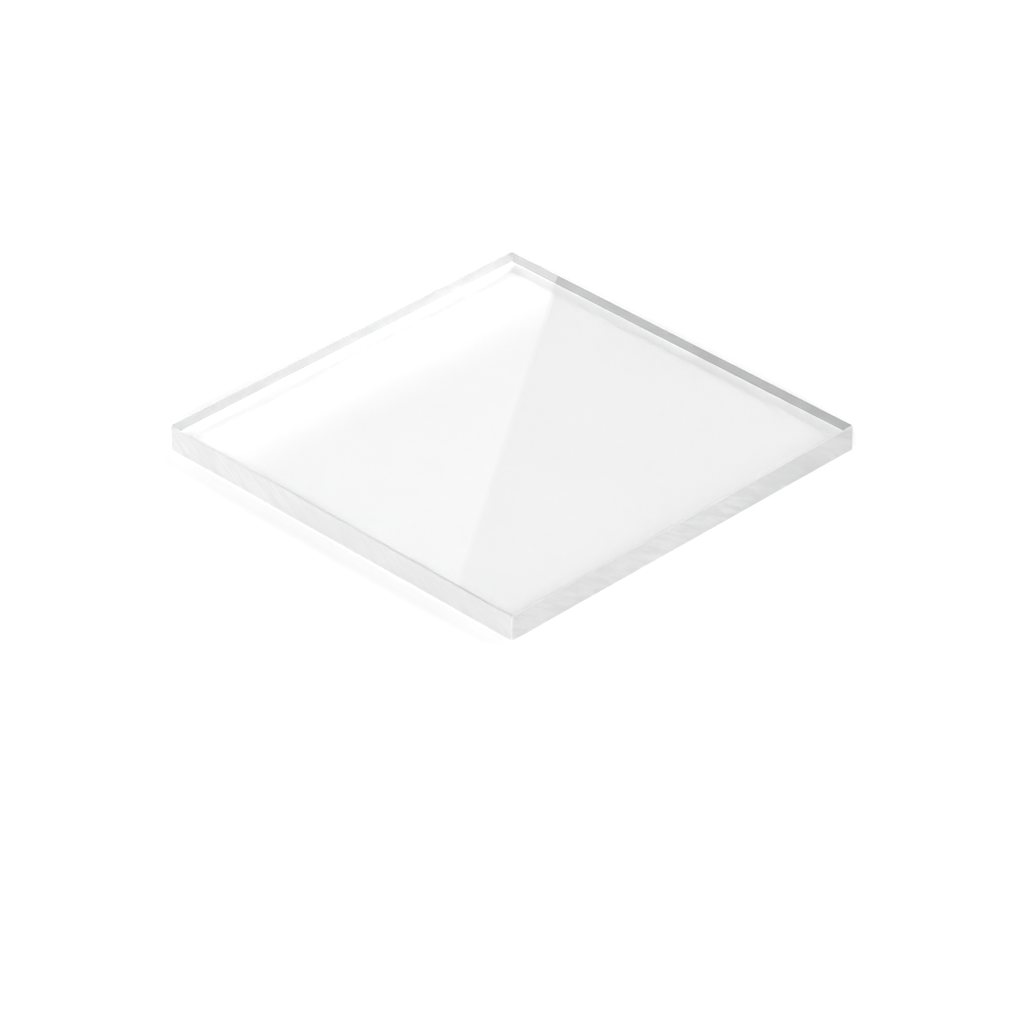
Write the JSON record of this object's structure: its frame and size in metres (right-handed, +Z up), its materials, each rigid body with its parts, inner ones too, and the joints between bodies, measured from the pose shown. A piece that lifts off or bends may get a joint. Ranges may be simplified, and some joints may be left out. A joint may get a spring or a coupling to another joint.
{
  "type": "clear acrylic sheet",
  "caption": "Square sheet of clear acrylic, polished on both faces and saw-cut round its edges, with scraped rims and corners.",
  "frame": {"origin": "centre of the lower polished face, which the sheet lies on", "axes": "+Z up through the sheet's thickness, X and Y square to its sawn edges"},
  "size_m": [0.1, 0.1, 0.006],
  "materials": {
    "clear_acrylic": "polished"
  },
  "bodies": {
    "root": {"acrylic_sheet": "clear_acrylic"}
  },
  "joints": []
}
